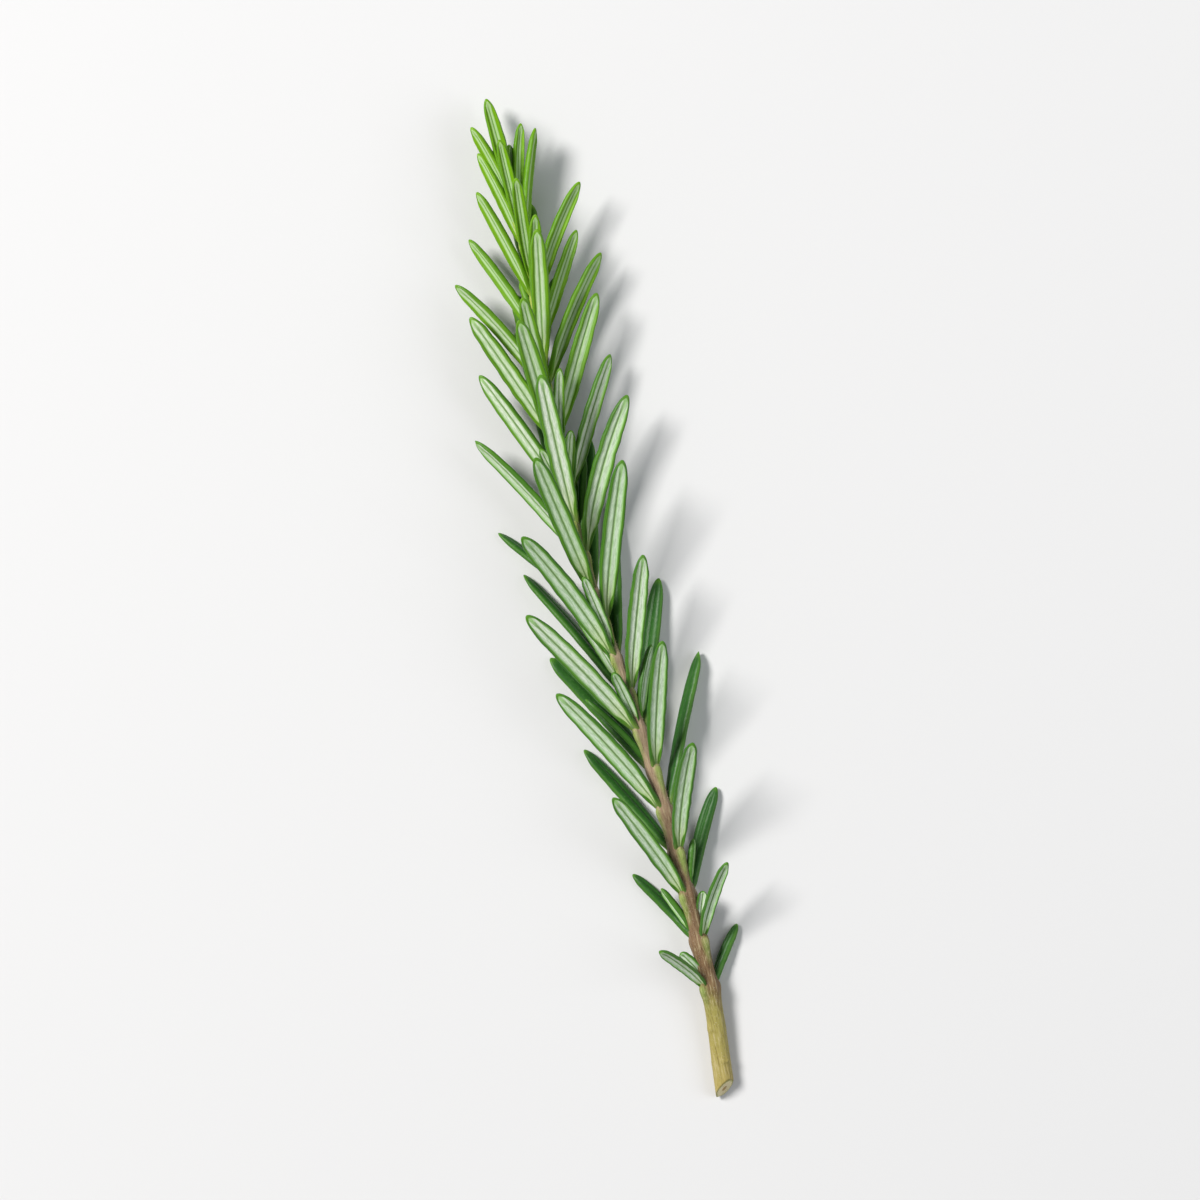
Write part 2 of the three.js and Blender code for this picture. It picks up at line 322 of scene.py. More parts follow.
BARK_ROUGHNESS_SCATTER = 0.3
BARK_SPECULAR = 0.3
OLD_HAIR = (0.62, 0.55, 0.42)
YOUNG_HAIR = (0.62, 0.70, 0.42)
HAIR_YOUTH_SPAN = (40, 130)
HAIR_ROUGHNESS = 0.7

# Cut face from its middle, at 0, to its rim, at 1
CUT_STOPS = [
    (0.0, (0.40, 0.27, 0.11)),
    (0.24, (0.42, 0.29, 0.12)),
    (0.32, (0.76, 0.66, 0.40)),
    (0.80, (0.74, 0.66, 0.40)),
    (0.89, (0.42, 0.44, 0.15)),
    (1.0, (0.20, 0.14, 0.06)),
]
CUT_SPAN = (0.3, 0.8)
RING_WANDER = 0.14
PITH_SPAN = (0.28, 0.4)
CUT_RAY = (0.50, 0.38, 0.17)
RAY_SHARE = 0.6
RAY_SPAN = (0.5, 0.68)

# Stage, in metres
FLOOR_REACH = 2.0
FLOOR_GAP = 0.0001
FLOOR_COLOUR = (0.70, 0.70, 0.705)
FLOOR_ROUGHNESS = 0.7
SENSOR = 36.0
CAMERA_HEIGHT = 1.0
SPRIG_SHARE = 0.86
LEAN = 13.5
# Name, place, size, power and colour
LIGHTS = [
    ("key", (-0.95, 0.85, 1.45), 0.55, 44.0, (1.0, 0.98, 0.95)),
    ("fill", (1.10, -0.3, 1.05), 1.0, 6.8, (0.94, 0.97, 1.0)),
]
WORLD_COLOUR = (0.93, 0.96, 1.0)
WORLD_STRENGTH = 0.26

# Half of a leaf's section, from the middle of its upper side round the rolled margin to the midrib
# below: across as a share of the half width, and up as a share of half the thickness.
HALF_SECTION = [
    (0.00, 0.60),
    (0.07, 0.74),
    (0.20, 0.90),
    (0.38, 0.97),
    (0.58, 0.90),
    (0.77, 0.70),
    (0.91, 0.38),
    (0.99, -0.02),
    (0.99, -0.44),
    (0.91, -0.80),
    (0.81, -0.94),
    (0.71, -0.88),
    (0.65, -0.70),
    (0.60, -0.50),
    (0.44, -0.38),
    (0.26, -0.36),
    (0.13, -0.34),
    (0.07, -0.20),
    (0.00, -0.14),
]
MARGIN_LOWEST = 10


def repeatable_draws(seed):
    """A function that draws numbers between -1 and 1, the same ones on every run."""
    state = seed

    def draw():
        nonlocal state
        state = (state * DRAW_FACTOR + DRAW_STEP) % DRAW_RANGE
        return 2 * state / DRAW_RANGE - 1

    return draw


def value_at(stops, place):
    """The value at a place between stops: a cubic through the stops, level past the first and the last."""
    last = len(stops) - 1
    if place <= stops[0][0]:
        return stops[0][1]
    if place >= stops[last][0]:
        return stops[last][1]
    index = 0
    while place > stops[index + 1][0]:
        index += 1

    def slope(at):
        low, high = stops[max(at - 1, 0)], stops[min(at + 1, last)]
        return (high[1] - low[1]) / (high[0] - low[0])

    (start, start_value), (end, end_value) = stops[index], stops[index + 1]
    span = end - start
    part = (place - start) / span
    ease = part * part * (3 - 2 * part)
    lead = part * (1 - part) * (1 - part) * span * slope(index)
    tail = part * part * (part - 1) * span * slope(index + 1)
    return start_value + (end_value - start_value) * ease + lead + tail


def unit(vector):
    return vector / np.linalg.norm(vector)


def smooth(value, low, high):
    """0 below low and 1 above high, with a soft rise between them; low may be the higher one."""
    part = np.clip((np.asarray(value, float) - low) / (high - low), 0, 1)
    return part * part * (3 - 2 * part)


def stem_point(place):
    return np.array([value_at(SWAY_STOPS, place), place, value_at(RISE_STOPS, place)])


def stem_direction(place):
    return unit(stem_point(place + 0.5) - stem_point(place - 0.5))


def stem_sides(direction):
    """The directions to the right of the stem and up from it."""
    right = unit(np.array([1.0, 0, 0]) - direction * direction[0])
    return right, np.cross(right, direction)


def pair_place(pair):
    if pair >= SHOOT_PAIR_COUNT:
        return FIRST_TIP_PAIR + TIP_PAIR_STEP * (pair - SHOOT_PAIR_COUNT)
    part = pair / (SHOOT_PAIR_COUNT - 1)
    return FIRST_PAIR + (LAST_SHOOT_PAIR - FIRST_PAIR) * part * (1 + PAIR_CROWDING * (1 - part))


def stem_radius(place):
    left = max(1 - place / STEM_LENGTH, 0)
    plain = (TIP_DIAMETER + (CUT_DIAMETER - TIP_DIAMETER) * left**STEM_TAPER) / 2
    away = [(place - pair_place(pair)) / COLLAR_LENGTH for pair in range(PAIR_COUNT)]
    return plain * (1 + max(COLLAR_HEIGHT * math.exp(-a * a) for a in away))


def bends(draw):
    """How a leaf bends away from the stem, to its side and round itself."""
    return {
        "recurve": RECURVE + RECURVE_SCATTER * draw(),
        "side_bend": SIDE_BEND * draw(),
        "twist": TWIST_SCATTER * draw(),
    }


def leaf_plan():
    """Every leaf as its place on the stem, its azimuth round it (0 is +X, 90 is up) and its form."""
    draw = repeatable_draws(SEED)
    leaves = []
    for pair in range(PAIR_COUNT):
        place = pair_place(pair)
        quarter = ROW_AZIMUTH - 90 * (pair % 2) + value_at(ROW_TURN_STOPS, place)
        in_tip = pair >= SHOOT_PAIR_COUNT
        for opposite, group in zip((0, 180), ROW_GROUPS[pair % 2]):
            main = {
                "place": place,
                "azimuth": quarter + opposite + ROW_SCATTER * draw(),
                "angle": value_at(ANGLE_STOPS, place) + ANGLE_SCATTER * draw() * (TIP_CALM if in_tip else 1),
                "length": value_at(LENGTH_STOPS, place) * (1 + LENGTH_SCATTER * draw()),
                **bends(draw),
                "group": "tip" if in_tip else group,
            }
            leaves.append(main)
            axil = {
                "place": place + AXIL_RISE,
                "azimuth": main["azimuth"] + AXIL_TURN * math.copysign(1, draw()),
                "angle": main["angle"] * AXIL_ANGLE + ANGLE_SCATTER * draw(),
                "length": main["length"] * (AXIL_LENGTH + AXIL_LENGTH_SCATTER * draw()),
                **bends(draw),
                "group": "axil",
            }
            kept = draw() < 2 * AXIL_SHARE - 1
            if kept and place < LAST_AXIL:
                leaves.append(axil)
    bud_azimuth = ROW_AZIMUTH - 90 * (PAIR_COUNT % 2) + value_at(ROW_TURN_STOPS, STEM_LENGTH)
    for opposite in (0, 180):
        bud = {
            "place": STEM_LENGTH - BUD_BELOW_END,
            "azimuth": bud_azimuth + opposite,
            "angle": BUD_ANGLE,
            "length": BUD_LENGTH,
            "recurve": BUD_ANGLE,
            "side_bend": 0,
            "twist": 0,
            "group": "tip",
        }
        leaves.append(bud)
    return leaves


def leaf_half_width(leaf, part):
    widest = min(max(leaf["length"] * LEAF_SLIMNESS, LEAST_WIDTH), MOST_WIDTH) / 2
    if part < WIDEST_PLACE:
        out = part / WIDEST_PLACE
        return widest * (BASE_NARROWING + (1 - BASE_NARROWING) * out * (2 - out))
    on = (part - WIDEST_PLACE) / (1 - WIDEST_PLACE)
    return widest * (1 - (1 - TIP_NARROWING) * on * on)


def free_middle(leaf, part):
    """The middle line of a leaf: an arc that bends away from the stem, with a slight bend to the side."""
    end = leaf["start"] + leaf["bend"] * part
    forward = leaf["length"] * (math.sin(end) - math.sin(leaf["start"])) / leaf["bend"]
    away = leaf["length"] * (math.cos(leaf["start"]) - math.cos(end)) / leaf["bend"]
    aside = leaf["length"] * leaf["side_bend"] * part * part
    return leaf["base"] + leaf["stem"] * forward + leaf["outward"] * away + leaf["sideways"] * aside


def leaf_directions(leaf, middle, part):
    """Across and underside directions of a leaf, for a middle line given as a function."""
    along = unit(middle(leaf, part + SMALL_STEP) - middle(leaf, part - SMALL_STEP))
    under = unit(leaf["outward"] - along * np.dot(along, leaf["outward"]))
    across = np.cross(along, under)
    twist = leaf["turn"] * min(max(part, 0) / TWIST_END, 1)
    return (
        across * math.cos(twist) - under * math.sin(twist),
        under * math.cos(twist) + across * math.sin(twist),
    )


def resting_middle(leaf, part):
    """The same line with the table under it: a soft floor lifts what would go through."""
    point = free_middle(leaf, part)
    across, under = leaf_directions(leaf, free_middle, part)
    reach = abs(across[2]) * leaf_half_width(leaf, part) + abs(under[2]) * LEAF_THICKNESS / 2
    over = point[2] - reach + TABLE_PRESS
    point[2] += (math.sqrt(over * over + TABLE_SOFTNESS * TABLE_SOFTNESS) - over) / 2
    return point


def eased_middle(leaf):
    """A leaf's resting middle line as a function, with its lift off the table spread softly along it."""
    grid = np.linspace(-LIFT_MARGIN, 1 + LIFT_MARGIN, LIFT_STEPS)
    lifts = [resting_middle(leaf, part)[2] - free_middle(leaf, part)[2] for part in grid]
    kernel = np.hanning(LIFT_SPREAD)
    padded = np.pad(lifts, LIFT_SPREAD // 2, mode="edge")
    eased = np.convolve(padded, kernel / kernel.sum(), mode="valid")

    def middle(leaf, part):
        point = free_middle(leaf, part)
        point[2] += np.interp(part, grid, eased)
        return point

    return middle


def set_leaf_frame(leaf):
    stem = stem_direction(leaf["place"])
    azimuth = math.radians(leaf["azimuth"])
    outward = np.array([math.cos(azimuth), 0, math.sin(azimuth)])
    outward = unit(outward - stem * np.dot(stem, outward))
    sideways = np.cross(stem, outward)
    turn_to_light = TURN_TO_LIGHT * abs(math.cos(azimuth)) * math.copysign(1, sideways[2])
    facing_up = min(max(SHADE_LIMIT + math.sin(azimuth), 0), 1)
    leaf.update(
        stem=stem,
        outward=outward,
        sideways=sideways,
        base=stem_point(leaf["place"]) + outward * BASE_DEPTH * stem_radius(leaf["place"]),
        start=math.radians(leaf["angle"]),
        bend=math.radians(leaf["recurve"]),
        turn=math.radians(turn_to_light * facing_up + leaf["twist"]),
    )


def frame_shift():
    """What moves the plant to its place in the frame, in millimetres: from the corner of its cut end."""
    right, up = stem_sides(stem_direction(0))
    corners = []
    for side in range(SOLID_STEM_SIDES):
        turn = 2 * math.pi * side / SOLID_STEM_SIDES
        wide, high = math.sin(turn), math.cos(turn)
        corner = stem_point(0) + (right * wide + up * high) * stem_radius(0)
        corners.append(corner + stem_direction(0) * CUT_SLANT * wide)
    lowest = np.min(corners, axis=0)
    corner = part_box("woody_stem")[0]
    return np.array([corner.x / MM - lowest[0], corner.y / MM - lowest[1], 0])


SHIFT = frame_shift()


def in_frame(points):
    """Points in plant millimetres as points in metres in the frame, drawn in softly at the solids' box."""
    points = np.asarray(points) + SHIFT
    low, high = (np.array(corner) / MM for corner in cad_box)
    for axis in range(3):
        for sign, limit in ((1, high[axis]), (-1, -low[axis])):
            over = sign * points[:, axis] - (limit - BOX_SOFTNESS)
            drawn = limit - BOX_SOFTNESS * np.exp(-np.maximum(over, 0) / BOX_SOFTNESS)
            points[:, axis] = np.where(over > 0, sign * drawn, points[:, axis])
    return points * MM


def mesh_object(name, points, faces, numbers, sheet=None):
    """A smooth mesh object, with a number on each point for each name in numbers, and a flat map."""
    mesh = bpy.data.meshes.new(name)
    mesh.from_pydata(points.tolist(), [], faces)
    if sheet is not None:
        mesh.uv_layers.new(name="OFBake").data.foreach_set("uv", np.asarray(sheet, np.float32).ravel())
    for key, values in numbers.items():
        values = np.asarray(values, np.float32)
        if values.ndim == 2:
            mesh.attributes.new(key, "FLOAT_VECTOR", "POINT").data.foreach_set("vector", values.ravel())
        else:
            mesh.attributes.new(key, "FLOAT", "POINT").data.foreach_set("value", values)
    mesh.shade_smooth()
    mesh.update()
    made = bpy.data.objects.new(name, mesh)
    bpy.context.scene.collection.objects.link(made)
    return made


def ring_faces(first, rings, sides, poles):
    """The faces between rings of points, and a fan to a pole at each end.

    The points of a ring run clockwise seen from the far end.
    """
    faces = []
    for ring in range(rings - 1):
        low = first + ring * sides
        for side in range(sides):
            after = (side + 1) % sides
            faces.append((low + side, low + sides + side, low + sides + after, low + after))
    last = first + (rings - 1) * sides
    near, far = poles
    faces += [(near, first + side, first + (side + 1) % sides) for side in range(sides)]
    faces += [(far, last + (side + 1) % sides, last + side) for side in range(sides)]
    return faces


def ring_sheet(rings, sides, columns, box):
    """Where each corner of ring_faces' faces lies on the flat map: in columns side by side, in a box."""
    left, low, right, high = box
    wide = (right - left) / columns
    tall = math.ceil((rings + 1) / columns)
    corners = []

    def corner(strip, side, top):
        across = SHEET_GAP + (1 - 2 * SHEET_GAP) * side / sides
        along = SHEET_GAP + (1 - 2 * SHEET_GAP) * (strip % tall + top) / tall
        corners.append((left + wide * (strip // tall + across), low + (high - low) * along))

    for strip in range(1, rings):
        for side in range(sides):
            for place, top in ((side, 0), (side, 1), (side + 1, 1), (side + 1, 0)):
                corner(strip, place, top)
    for side in range(sides):
        for place, top in ((side + 0.5, 0), (side, 1), (side + 1, 1)):
            corner(0, place, top)
    for side in range(sides):
        for place, top in ((side + 0.5, 1), (side + 1, 0), (side, 0)):
            corner(rings, place, top)
    return corners


def full_section():
    """The whole section of a leaf, with a flag on its underside."""
    half = np.array(HALF_SECTION)
    below = np.array([index >= MARGIN_LOWEST for index in range(len(half))], float)
    mirrored = half[-2:0:-1] * [-1, 1]
    return np.vstack([half, mirrored]), np.concatenate([below, below[-2:0:-1]])


SECTION, SECTION_BELOW = full_section()


def leaf_parts():
    """Places along a leaf where it has a ring of points, closer together at its base and round its tip."""
    even = np.linspace(0, 1, BLADE_STATIONS)
    blade = TIP_ROUNDING * ((1 - BASE_CROWDING) * even + BASE_CROWDING * even * even)
    turns = np.radians(np.linspace(0, LAST_TIP_TURN, TIP_STATIONS + 1)[1:])
    return np.concatenate([blade, TIP_ROUNDING + (1 - TIP_ROUNDING) * np.sin(turns)])


def leaf_rings(leaf, number):
    """The points of one leaf, ring by ring and then its tip, and the numbers that its material reads."""
    set_leaf_frame(leaf)
    draw = repeatable_draws(LEAF_SEED + number)
    waves = [
        (FIRST_RIPPLE + RIPPLE_STEP * wave, math.pi * draw(), RIPPLE * (1 + draw()))
        for wave in range(RIPPLE_WAVES)
    ]
    tone = draw()
    middle = eased_middle(leaf)
    rounded = SECTION / np.linalg.norm(SECTION, axis=1, keepdims=True)
    parts = leaf_parts()
    points = []
    for part in parts:
        across, under = leaf_directions(leaf, middle, part)
        blunt = math.sqrt(1 - max((part - TIP_ROUNDING) / (1 - TIP_ROUNDING), 0) ** 2)
        ripple = 1 + sum(size * math.sin(turns * 2 * math.pi * part + phase) for turns, phase, size in waves)
        half_width = leaf_half_width(leaf, part) * blunt * ripple
        opened = float(smooth(part, 0.0, STALK_END))
        thinned = 1 - TIP_THINNING * float(smooth(part, *TIP_THINNING_SPAN))
        half_thick = LEAF_THICKNESS / 2 * blunt * thinned * (STALK_THICKNESS + (1 - STALK_THICKNESS) * opened)
        formed = opened * float(smooth(part, 1.0, TIP_ROUNDING))
        section = rounded * (1 - formed) + SECTION * formed
        sideways = np.outer(section[:, 0] * half_width, across)
        upwards = np.outer(section[:, 1] * half_thick, under)
        points.append(middle(leaf, part) + sideways - upwards)
    points += [middle(leaf, 0)[None], middle(leaf, 1)[None]]
    sides = len(SECTION)
    place = np.append(np.repeat(parts, sides), [0, 1])
    half_widths = np.append(np.repeat([leaf_half_width(leaf, part) for part in parts], sides), [0, 0])
    across = np.append(np.tile(SECTION[:, 0], len(parts)), [0, 0])
    high = np.append(np.tile(SECTION[:, 1], len(parts)), [0, 0]) * LEAF_THICKNESS / 2
    blade_across = across * half_widths + PATTERN_STEP * number
    numbers = {
        "across": across,
        "below": np.append(np.tile(SECTION_BELOW, len(parts)), [0, 0]),
        "part": place,
        "age": np.full(len(place), leaf["place"] / STEM_LENGTH),
        "tone": np.full(len(place), tone),
        "blade": np.stack([blade_across, place * leaf["length"], high], axis=1),
    }
    return np.vstack(points), numbers


def leaves_object(name, leaves):
    """One object for a group of leaves."""
    points, faces, numbers, sheet = [], [], {}, []
    rings = len(leaf_parts())
    rows = max(1, round(math.sqrt(SHEET_LEAF_SHAPE * len(leaves))))
    columns = math.ceil(len(leaves) / rows)
    for index, (number, leaf) in enumerate(leaves):
        leaf_points, leaf_numbers = leaf_rings(leaf, number)
        first = index * len(leaf_points)
        points.append(leaf_points)
        poles = (first + len(leaf_points) - 2, first + len(leaf_points) - 1)
        faces += ring_faces(first, rings, len(SECTION), poles)
        left, low = (index % columns) / columns, (index // columns) / rows
        sheet += ring_sheet(rings, len(SECTION), 1, (left, low, left + 1 / columns, low + 1 / rows))
        for key, values in leaf_numbers.items():
            numbers.setdefault(key, []).append(values)
    numbers = {key: np.concatenate(values) for key, values in numbers.items()}
    return mesh_object(name, in_frame(np.vstack(points)), faces, numbers, sheet)


def turn_from(azimuths, degrees):
    """How far each azimuth is from a direction, in radians from -pi to pi."""
    return np.angle(np.exp(1j * (azimuths - math.radians(degrees))))


def mound(along, around, size):
    """The height, from 0 to 1, of a soft mound at a distance along the stem and round it."""
    return math.exp(-((along / size[0]) ** 2)) * np.exp(-((around / size[1]) ** 2))


def stem_relief(place, azimuths, leaves):
    """How far the stem's surface stands out of its round form at one place, for each azimuth, in millimetres.

    Also how far each azimuth is on a ridge that runs down from a leaf, from 0 to 1.
    """
    woody = float(smooth(place, *WOODY_SPAN))
    radius = stem_radius(place)
    relief = np.zeros(len(azimuths))
    for count, turns, size in BARK_RIDGES:
        relief += size * radius * woody * np.cos(count * azimuths + turns * place)
    quarter = math.radians(ROW_AZIMUTH + value_at(ROW_TURN_STOPS, place))
    relief += SQUARENESS * radius * (1 - WOODY_ROUNDING * woody) * np.cos(STEM_CORNERS * (azimuths - quarter))
    for scar_place, scar_azimuth in LEAF_SCARS:
        away = turn_from(azimuths, scar_azimuth)
        relief += SCAR_HEIGHT * mound(place - scar_place, away, SCAR_SIZE)
        relief -= PIT_DEPTH * mound(place - scar_place - PIT_RISE, away, PIT_SIZE)
    green = np.zeros(len(azimuths))
    for leaf in leaves:
        below = leaf["place"] - place
        if -RIDGE_ABOVE < below < GREEN_LENGTH:
            away = turn_from(azimuths, leaf["azimuth"])
            on_ridge = float(smooth(below, *RIDGE_TOP_SPAN)) * np.exp(-((away / RIDGE_WIDTH) ** 2))
            relief += RIDGE_HEIGHT * radius * float(smooth(below, RIDGE_LENGTH, 0.0)) * on_ridge
            green += float(smooth(below, GREEN_LENGTH, GREEN_FULL)) * on_ridge
    return relief, np.minimum(green, 1)


def stem_object(leaves):
    """The whole stem from its slanting cut to the growing point, with bark ridges, collars and scars."""
    azimuths = math.pi / 2 - 2 * math.pi * np.arange(STEM_SIDES) / STEM_SIDES
    mains = [leaf for leaf in leaves if leaf["group"] != "axil"]
    points, places, cuts, radials, greens, spokes = [], [], [], [], [], []

    def add_ring(place, share, radial, cut, sunk=0.0):
        direction = stem_direction(place)
        right, up = stem_sides(direction)
        relief, green = stem_relief(place, azimuths, mains)
        radius = (stem_radius(place) + relief) * share
        slant = (CUT_SLANT * np.cos(azimuths) + CUT_LEAN * np.sin(azimuths)) * share + CUT_SHIFT
        slant = slant * max(1 - place / SLANT_LENGTH, 0)
        ring = stem_point(place) + np.outer(np.cos(azimuths) * radius, right)
        ring = ring + np.outer(np.sin(azimuths) * radius, up) + np.outer(slant + sunk, direction)
        points.append(ring)
        places.append(np.full(STEM_SIDES, place))
        cuts.append(np.full(STEM_SIDES, cut))
        radials.append(np.full(STEM_SIDES, radial))
        greens.append(green)
        spokes.append(np.stack([np.cos(azimuths), np.sin(azimuths), np.full(STEM_SIDES, radial)], axis=1))

    for share, sunk in CUT_RINGS:
        add_ring(0, share, share, 1.0 if share < CUT_RIM else CUT_RIM_SHARE, sunk)
    for place in np.arange(FIRST_STEM_RING, STEM_LENGTH, STEM_STEP):
        add_ring(place, 1.0, 1.0, 0.0)
    for share in END_RINGS:
        add_ring(STEM_LENGTH + END_DOME * math.sqrt(1 - share * share), share, 1.0, 0.0)
    rings = len(points)
    near = stem_point(0) + stem_direction(0) * (CUT_RINGS[0][1] + CUT_SHIFT)
    far = stem_point(STEM_LENGTH) + stem_direction(STEM_LENGTH) * END_POLE
    points = np.vstack([*points, near, far])
    numbers = {
        "place": np.append(np.concatenate(places), [0, STEM_LENGTH]),
        "cut": np.append(np.concatenate(cuts), [1, 0]),
        "radial": np.append(np.concatenate(radials), [0, 1]),
        "green": np.append(np.concatenate(greens), [0, 0]),
        "spoke": np.vstack([*spokes, [(0, 0, 0), (0, 0, 1)]]),
    }
    count = rings * STEM_SIDES
    faces = ring_faces(0, rings, STEM_SIDES, (count, count + 1))
    sheet = ring_sheet(rings, STEM_SIDES, SHEET_STEM_COLUMNS, (0, 0, 1, 1))
    return mesh_object("stem", in_frame(points), faces, numbers, sheet)


def hairs_object(leaves):
    """Short fine hairs on the stem, denser towards the growing tip."""
    draw = repeatable_draws(HAIR_SEED)
    mains = [leaf for leaf in leaves if leaf["group"] != "axil"]
    points, faces, sheet, places = [], [], [], []
    wide = math.ceil(math.sqrt(HAIR_COUNT))
    for hair in range(HAIR_COUNT):
        share = (1 + draw()) / 2
        place = FIRST_HAIR + (STEM_LENGTH - FIRST_HAIR) * share**HAIR_CROWDING
        azimuth = math.pi * draw()
        length = HAIR_LENGTH * (1 + HAIR_LENGTH_SCATTER * draw())
        lean_aside, lean_along = HAIR_LEAN * draw(), HAIR_LEAN * draw()
        direction = stem_direction(place)
        right, up = stem_sides(direction)
        out = right * math.cos(azimuth) + up * math.sin(azimuth)
        aside = np.cross(direction, out)
        relief, _ = stem_relief(place, np.array([azimuth]), mains)
        root = stem_point(place) + out * (stem_radius(place) + relief[0] - HAIR_ROOT)
        first = len(points)
        for corner in range(HAIR_SIDES):
            turn = 2 * math.pi * corner / HAIR_SIDES
            points.append(root + (aside * math.cos(turn) + direction * math.sin(turn)) * HAIR_WIDTH / 2)
        points.append(root + unit(out + aside * lean_aside + direction * lean_along) * (length + HAIR_ROOT))
        places += [place] * (HAIR_SIDES + 1)
        left, low = (hair % wide) / wide, (hair // wide) / wide
        sheet += [(left + across / wide, low + along / wide) for across, along in HAIR_SHEET]
        for corner in range(HAIR_SIDES):
            faces.append((first + corner, first + (corner + 1) % HAIR_SIDES, first + HAIR_SIDES))
        faces.append((first + 2, first + 1, first))
    return mesh_object("stem_hairs", in_frame(points), faces, {"place": np.array(places)}, sheet)


def add_node(tree, kind, inputs=None, **settings):
    """A node with its settings made, and its inputs set to a value or linked to another node's output."""
    made = tree.nodes.new(kind)
    for key, value in settings.items():
        setattr(made, key, value)
    for key, value in (inputs or {}).items():
        join(tree, made.inputs[key], value)
    return made


def join(tree, socket, value):
    if isinstance(value, bpy.types.NodeSocket):
        tree.links.new(value, socket)
    else:
        socket.default_value = value


def number_of(tree, name):
    return add_node(tree, "ShaderNodeAttribute", attribute_name=name).outputs["Fac"]


def vector_of(tree, name):
    return add_node(tree, "ShaderNodeAttribute", attribute_name=name).outputs["Vector"]


def math_node(tree, operation, first, second=0.0, third=0.0):
    inputs = {0: first, 1: second, 2: third}
    return add_node(tree, "ShaderNodeMath", inputs, operation=operation).outputs[0]


def times(tree, first, second):
    return math_node(tree, "MULTIPLY", first, second)


def scaled(tree, value, factor, added):
    """A value times a factor, with another value or number added."""
    return math_node(tree, "MULTIPLY_ADD", value, factor, added)


def rise(tree, value, span):
    """A soft rise from 0 to 1 over a span of the value, or a fall where the span starts at the higher."""
    low, high = span
    falls = low > high
    inputs = {"Value": value, "From Min": min(span), "From Max": max(span)}
    inputs.update({"To Min": 1.0 if falls else 0.0, "To Max": 0.0 if falls else 1.0})
    made = add_node(tree, "ShaderNodeMapRange", inputs, interpolation_type="SMOOTHSTEP")
    return made.outputs["Result"]


def mix(tree, share, first, second, blend="MIX"):
    """A colour between two: the first where share is 0, and the second where it is 1."""
    made = add_node(tree, "ShaderNodeMix", data_type="RGBA", blend_type=blend)
    for index, value in zip(MIX_INPUTS, (share, first, second)):
        if isinstance(value, tuple):
            value = (*value, 1.0)
        join(tree, made.inputs[index], value)
    return made.outputs[MIX_OUTPUT]


def tinted(tree, share, colour, tint):
    """A colour, multiplied by a tint where share is 1."""
    return mix(tree, share, colour, mix(tree, 1.0, colour, tint, "MULTIPLY"))


def noise(tree, vector, pattern):
    """Noise in one of the patterns named above."""
    stretch, scale, detail, rough = pattern
    mapping = {"Vector": vector, "Scale": stretch}
    stretched = add_node(tree, "ShaderNodeMapping", mapping, vector_type="POINT").outputs["Vector"]
    inputs = {"Vector": stretched, "Scale": scale, "Detail": detail, "Roughness": rough}
    return add_node(tree, "ShaderNodeTexNoise", inputs).outputs["Fac"]


def bump(tree, height, relief, normal=None):
    """A normal with relief of a strength and a height in metres, on top of another one if it is given."""
    strength, distance = relief
    inputs = {"Height": height, "Strength": strength, "Distance": distance}
    if normal is not None:
        inputs["Normal"] = normal
    return add_node(tree, "ShaderNodeBump", inputs).outputs["Normal"]


def ramp(tree, value, stops):
    """A colour that changes through the stops as value goes from 0 to 1."""
    made = add_node(tree, "ShaderNodeValToRGB", {"Fac": value})
    bar = made.color_ramp.elements
    while len(bar) < len(stops):
        bar.new(1.0)
    for element, (place, colour) in zip(bar, stops):
        element.position = place
        element.color = (*colour, 1.0)
    return made.outputs["Color"]


def new_material(name):
    """A material, its node tree and its shader."""
    material = bpy.data.materials.new(name)
    material.use_nodes = True
    tree = material.node_tree
    return material, tree, tree.nodes["Principled BSDF"]


def leaf_patterns(tree):
    """What the parts of the leaf's material read: numbers on the points of the leaves, and noise."""
    blade = vector_of(tree, "blade")
    part, age, tone, across, below = (
        number_of(tree, name) for name in ("part", "age", "tone", "across", "below")
    )
    return SimpleNamespace(
        part=part,
        off_middle=math_node(tree, "ABSOLUTE", across),
        below=rise(tree, below, UNDERSIDE_SPAN),
        youth=rise(tree, scaled(tree, tone, YOUTH_SCATTER, age), YOUTH_SPAN),
        shade=scaled(tree, tone, 0.5, 0.5),
        cloud=noise(tree, blade, LEAF_CLOUD),
        pebble=noise(tree, blade, LEAF_PEBBLE),
        fibre=noise(tree, blade, LEAF_FIBRE),
        fine=noise(tree, blade, LEAF_FINE),
    )


def leaf_green(tree, leaf):
    """The green of a leaf: dark and pebbled above with a painted highlight on the pebbles' tops, lighter on
    its margins and below, palest at its stalk.
    """
    upper = mix(tree, leaf.youth, OLD_UPPER, YOUNG_UPPER)
    upper = tinted(tree, rise(tree, leaf.cloud, CLOUD_ABOVE_SPAN), upper, CLOUD_TINT)
    # Painted highlight: the pebbles' tops are turned a lighter green, as if they caught the light.
    painted_highlight = mix(tree, PEBBLE_HIGHLIGHT_SHARE, upper, PEBBLE_PAINTED_HIGHLIGHT)
    upper = mix(tree, rise(tree, leaf.pebble, PEBBLE_HIGHLIGHT_SPAN), upper, painted_highlight)
    margin = mix(tree, leaf.youth, OLD_MARGIN, YOUNG_MARGIN)
    margin = tinted(tree, rise(tree, leaf.cloud, CLOUD_MARGIN_SPAN), margin, CLOUD_TINT)
    rim = times(tree, rise(tree, leaf.off_middle, RIM_SPAN), RIM_SHARE)
    green = mix(tree, math_node(tree, "MAXIMUM", rim, leaf.below), upper, margin)
    green = mix(tree, rise(tree, leaf.part, GREEN_TIP_SPAN), green, margin)
    stalk = mix(tree, leaf.youth, OLD_STALK, YOUNG_STALK)
    green = mix(tree, rise(tree, leaf.part, STALK_SPAN), green, stalk)
    return tinted(tree, times(tree, leaf.shade, TONE_SHARE), green, TONE_TINT)


